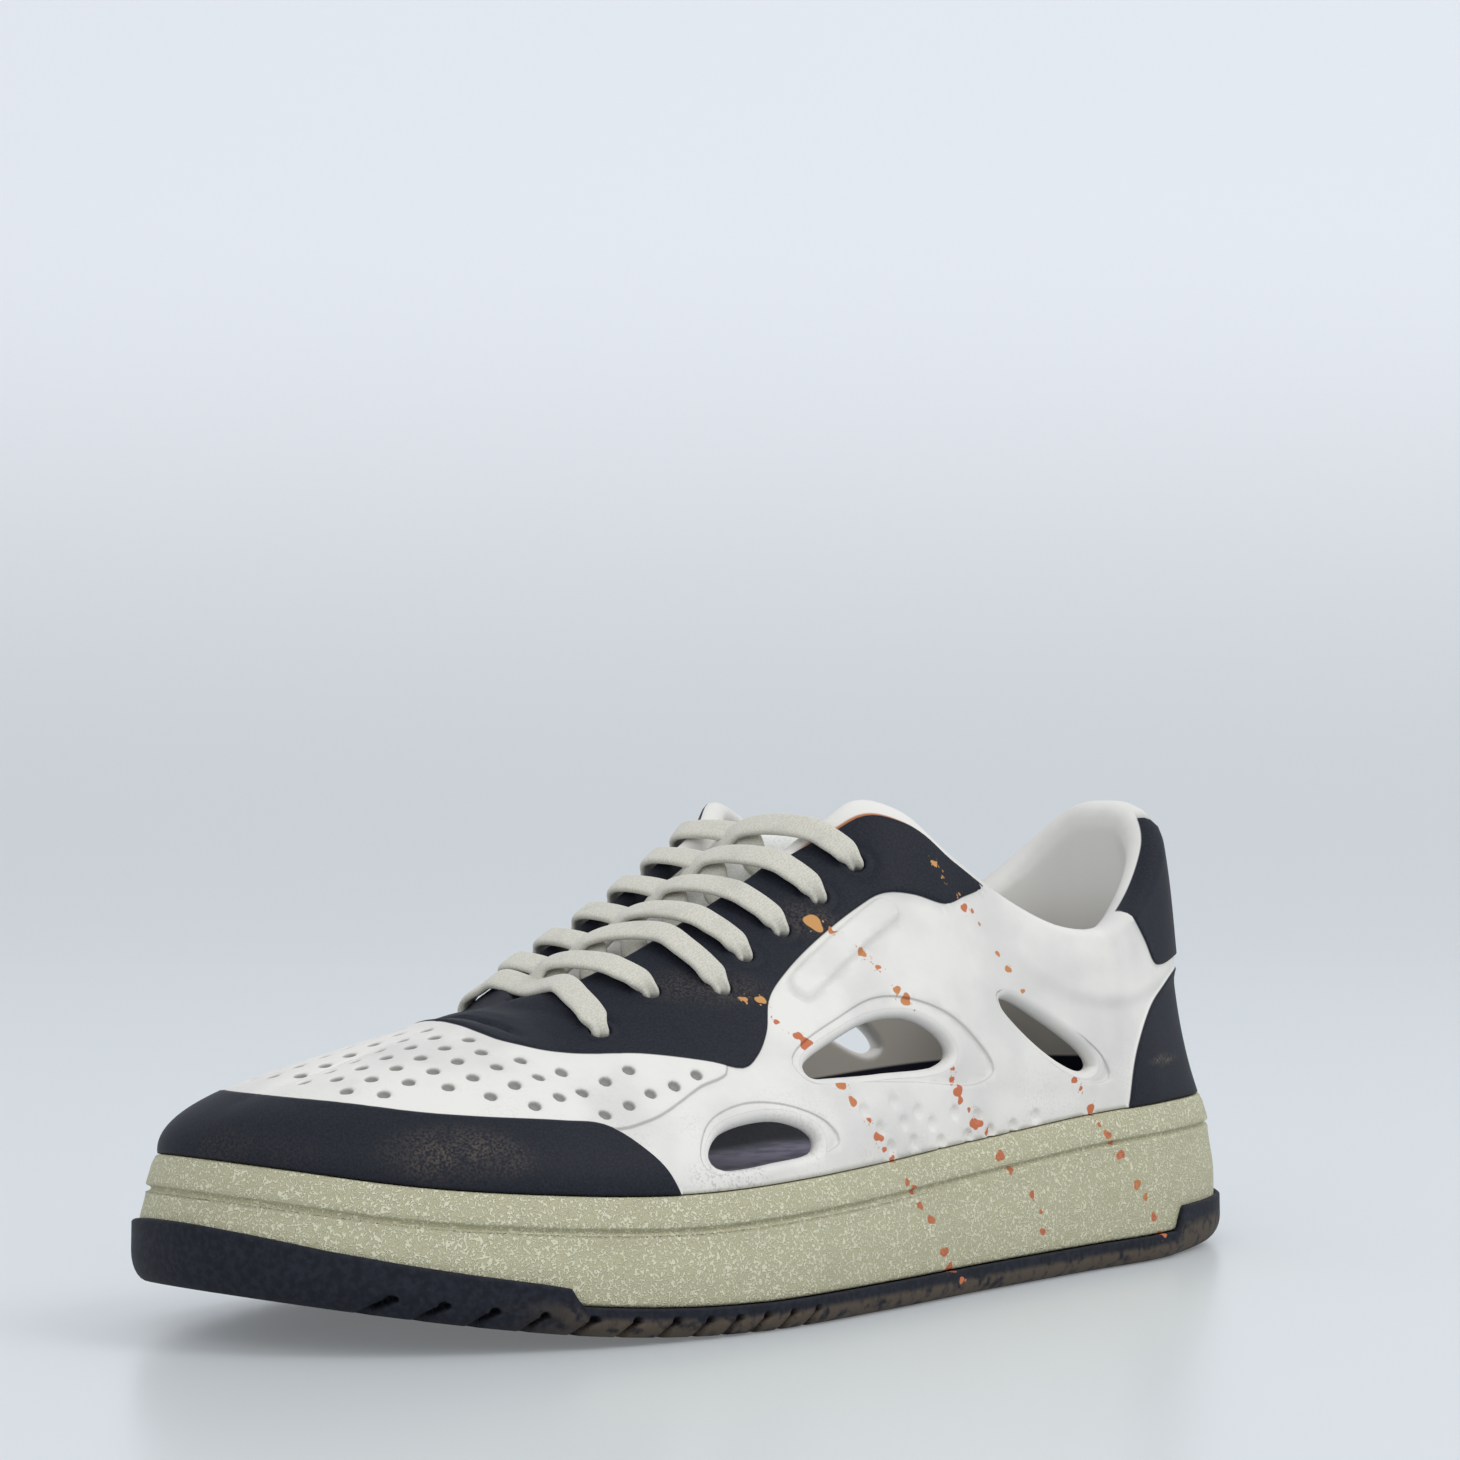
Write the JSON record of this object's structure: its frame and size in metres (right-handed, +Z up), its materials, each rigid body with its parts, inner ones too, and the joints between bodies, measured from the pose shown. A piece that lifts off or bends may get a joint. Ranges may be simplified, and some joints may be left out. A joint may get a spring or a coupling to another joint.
{
  "type": "sneaker",
  "caption": "Worn left low-top sneaker: hollow moulded foam upper with side openings and navy panels, cup sole, tongue, footbed and flat crossed laces, standing empty.",
  "frame": {"origin": "middle of the underside of the whole shoe's box, on the floor", "axes": "+X towards the toe, +Y towards the outer (little toe) side, +Z up"},
  "size_m": [0.3062, 0.1192, 0.1098],
  "materials": {
    "outsole_rubber": "matt moulded rubber, navy, brown with dirt low down",
    "midsole_foam": "cream moulded foam with a fine stipple",
    "insole_fabric": "dark navy knitted cover, flattened",
    "upper_foam": "off-white moulded foam with navy painted panels, soft satin",
    "tongue_fabric": "white mesh",
    "lace": "flat woven off-white lace"
  },
  "bodies": {
    "root": {"outsole": "outsole_rubber", "midsole": "midsole_foam", "insole": "insole_fabric", "upper": "upper_foam", "tongue": "tongue_fabric", "lace_bar": "lace", "lace_cross_1": "lace", "lace_cross_2": "lace", "lace_cross_3": "lace", "lace_cross_4": "lace", "lace_cross_5": "lace", "lace_cross_6": "lace"}
  },
  "joints": []
}
